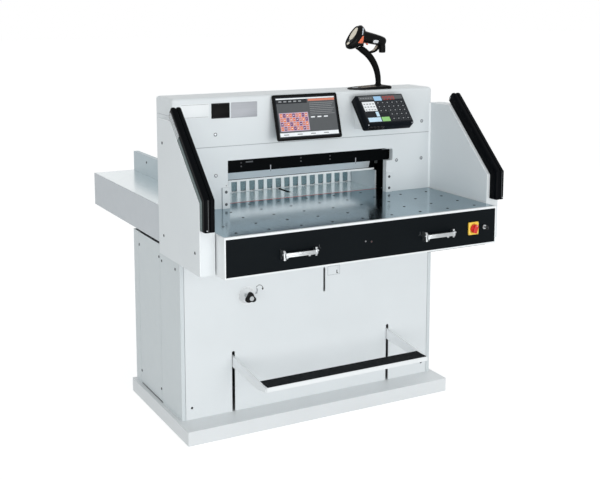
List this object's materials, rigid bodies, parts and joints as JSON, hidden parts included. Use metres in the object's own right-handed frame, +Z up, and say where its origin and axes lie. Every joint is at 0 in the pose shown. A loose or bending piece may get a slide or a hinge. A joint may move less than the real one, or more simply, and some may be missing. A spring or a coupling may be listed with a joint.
{
  "type": "stack paper cutter",
  "caption": "Floor-standing guillotine that clamps and cuts stacks of paper, with front and rear tables, light curtains, foot pedal, touch screen and hand scanner.",
  "frame": {"origin": "centre of the base's underside, on the floor", "axes": "+X to the operator's right, +Y from the operator to the back, +Z up"},
  "size_m": [1.306, 1.546, 1.5894],
  "materials": {
    "light_paint": "satin light grey powder coat",
    "cool_grey_paint": "satin cool grey powder coat",
    "white_paint": "satin white powder coat",
    "black_paint": "satin black powder coat",
    "dark_grey_paint": "matt dark grey paint",
    "frame_paint": "machined and painted steel frame",
    "table_chrome": "polished plate with a blue-grey cast",
    "rear_plate": "bright polished plate",
    "ground_steel": "ground and honed steel",
    "bright_steel": "bright zinc plated",
    "fin_white": "white moulded plastic",
    "stick_red": "red plastic",
    "black_plastic": "fine textured black plastic",
    "gloss_black": "gloss black plastic",
    "rubber_black": "ribbed black rubber",
    "yellow": "yellow plastic",
    "red": "red plastic",
    "orange": "orange plastic",
    "dial_grey": "light painted dish",
    "display": "display glass",
    "window_amber": "scanner window",
    "curtain_black": "anodised black profile",
    "panel_grey": "black plastic case"
  },
  "bodies": {
    "machine": {"air_blower": "dark_grey_paint", "air_nozzles": "bright_steel", "base_plinth": "light_paint", "cabinet_side_left": "cool_grey_paint", "cabinet_side_right": "cool_grey_paint", "control_box": "frame_paint", "cover_screws": "bright_steel", "cutting_stick": "stick_red", "cylinder_barrels": "ground_steel", "frame_cheeks": "frame_paint", "front_fascia": "black_paint", "front_panel": "light_paint", "front_table": "table_chrome", "gantry": "frame_paint", "gauge_motor": "dark_grey_paint", "guide_blocks": "light_paint", "head_cover": "light_paint", "head_front_lower": "light_paint", "hydraulic_tank": "dark_grey_paint", "key_lock": "bright_steel", "knob_dial_cup": "dial_grey", "light_curtain_left": "curtain_black", "light_curtain_right": "curtain_black", "machine_bed": "frame_paint", "panel_housing": "panel_grey", "panel_screen": "display", "pump_motor": "frame_paint", "rear_panel": "light_paint", "rear_table": "rear_plate", "rear_table_box": "cool_grey_paint", "scanner_stand": "black_plastic", "screen_mounts": "white_paint", "side_guides": "white_paint", "side_hatches": "cool_grey_paint", "switch_plate": "yellow", "table_box": "white_paint", "tablet_housing": "gloss_black", "tablet_screen": "display", "trigger_brackets": "bright_steel", "wing_left": "light_paint", "wing_right": "light_paint"},
    "pedal": {"foot_pedal": "white_paint", "pedal_mat": "rubber_black"},
    "pressure_knob": {"pressure_knob": "black_plastic"},
    "main_switch": {"switch_knob": "red"},
    "key": {"key": "bright_steel"},
    "left_trigger": {"trigger_bar_left": "bright_steel"},
    "right_trigger": {"trigger_bar_right": "bright_steel"},
    "knife": {"knife_beam": "black_paint", "knife_blade": "ground_steel", "knife_rod": "ground_steel"},
    "clamp": {"clamp_beam": "frame_paint", "clamp_plate": "white_paint", "clamp_yoke": "ground_steel"},
    "gauge": {"gauge_fence": "fin_white"},
    "gauge_screw": {"gauge_screw": "ground_steel"},
    "scanner": {"scanner_body": "gloss_black", "scanner_window": "window_amber"},
    "scanner_trigger": {"scanner_trigger": "orange"}
  },
  "joints": [
    {"name": "pedal_press", "type": "hinge", "parent": "machine", "child": "pedal", "pos_m": [0, -0.062, 0.281], "axis": [1, 0, 0], "range_deg": [0, 8], "stiffness_Nm_per_rad": 60, "springref_deg": -28.65},
    {"name": "pressure_dial_turn", "type": "hinge", "parent": "machine", "child": "pressure_knob", "pos_m": [-0.304, -0.25, 0.527], "axis": [0, 1, 0], "range_deg": [-135, 135]},
    {"name": "main_switch_turn", "type": "hinge", "parent": "machine", "child": "main_switch", "pos_m": [0.475, -0.66, 0.804], "axis": [0, 1, 0], "range_deg": [0, 90]},
    {"name": "key_turn", "type": "hinge", "parent": "machine", "child": "key", "pos_m": [0.53, -0.66, 0.804], "axis": [0, 1, 0], "range_deg": [0, 90]},
    {"name": "left_trigger_pull", "type": "hinge", "parent": "machine", "child": "left_trigger", "pos_m": [-0.303, -0.673, 0.803], "axis": [1, 0, 0], "range_deg": [0, 12], "stiffness_Nm_per_rad": 0.5, "springref_deg": -17.19},
    {"name": "right_trigger_pull", "type": "hinge", "parent": "machine", "child": "right_trigger", "pos_m": [0.303, -0.673, 0.803], "axis": [1, 0, 0], "range_deg": [0, 12], "stiffness_Nm_per_rad": 0.5, "springref_deg": -17.19},
    {"name": "knife_swing_cut", "type": "slide", "parent": "machine", "child": "knife", "axis": [0.2982, 0, -0.9545], "range_m": [0, 0.1003]},
    {"name": "clamp_down", "type": "slide", "parent": "machine", "child": "clamp", "axis": [0, 0, -1], "range_m": [0, 0.08]},
    {"name": "backgauge_travel", "type": "slide", "parent": "machine", "child": "gauge", "axis": [0, 1, 0], "range_m": [-0.115, 0.515]},
    {"name": "gauge_screw_turn", "type": "hinge", "parent": "machine", "child": "gauge_screw", "pos_m": [0, 0.3, 0.806], "axis": [0, 1, 0], "range_deg": [-2075, 9275]},
    {"name": "scanner_lift", "type": "slide", "parent": "machine", "child": "scanner", "axis": [0, 0, 1], "range_m": [0, 0.12]},
    {"name": "scanner_trigger_pull", "type": "slide", "parent": "scanner", "child": "scanner_trigger", "axis": [0, 0, 1], "range_m": [0, 0.004], "stiffness_N_per_m": 400, "springref_m": -0.002}
  ],
  "couplings": [
    {"joint": "gauge_screw_turn", "follows": "backgauge_travel", "rad_per_m": 314.16}
  ]
}
